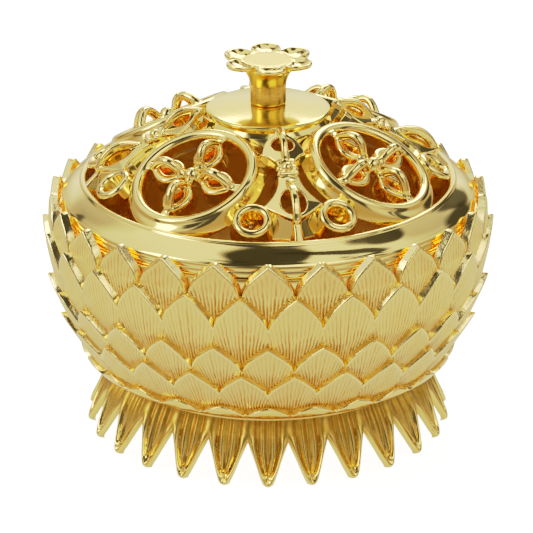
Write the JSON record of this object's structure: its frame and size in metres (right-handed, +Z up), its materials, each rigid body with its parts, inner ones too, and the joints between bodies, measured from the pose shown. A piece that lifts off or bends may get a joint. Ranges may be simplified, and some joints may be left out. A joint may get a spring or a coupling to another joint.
{
  "type": "incense burner",
  "caption": "Covered incense burner: a bowl dressed in rows of scale petals on a foot of splayed leaves, with a pierced domed lid and a flower knob.",
  "frame": {"origin": "centre of the foot, on the surface that the leaf tips stand on", "axes": "+Z up along the axis of the bowl; -Y is the front, where one petal and one leaf point"},
  "size_m": [0.1, 0.0994, 0.0852],
  "materials": {
    "gilt_polished": "bright gold plate over a smooth cast zinc alloy",
    "gilt_satin": "satin gold plate over engraved cast petals",
    "steel_screw": "plain zinc-plated steel",
    "plain_brass": "satin spun brass",
    "glass_fibre": "matt needled glass-fibre felt"
  },
  "bodies": {
    "bowl": {"bowl_shell": "gilt_polished", "petal_row_1": "gilt_satin", "petal_row_2": "gilt_satin", "petal_row_3": "gilt_satin", "petal_row_4": "gilt_satin", "petal_row_5": "gilt_satin", "foot_neck": "gilt_polished", "foot_leaves": "gilt_polished", "base_screw": "steel_screw", "base_washer": "steel_screw"},
    "lid": {"lid_band": "gilt_polished", "lid_spigot": "gilt_polished", "lid_medallion_rings": "gilt_polished", "lid_crossed_vajras": "gilt_polished", "lid_radial_vajras": "gilt_polished", "lid_eyelets": "gilt_polished", "lid_hub": "gilt_polished", "lid_disc": "gilt_polished", "knob_stem": "gilt_polished", "knob_flower": "gilt_polished", "knob_screw": "steel_screw", "knob_washer": "steel_screw"},
    "pad": {"fibre_pad": "glass_fibre"},
    "holder": {"incense_plate": "plain_brass", "incense_spike": "plain_brass"}
  },
  "joints": [
    {"name": "lid_lift", "type": "slide", "parent": "bowl", "child": "lid", "axis": [0, 0, 1], "range_m": [0, 0.06]},
    {"name": "pad_lift", "type": "slide", "parent": "bowl", "child": "pad", "axis": [0, 0, 1], "range_m": [0, 0.014]},
    {"name": "holder_lift", "type": "slide", "parent": "pad", "child": "holder", "axis": [0, 0, 1], "range_m": [0, 0.017]}
  ]
}
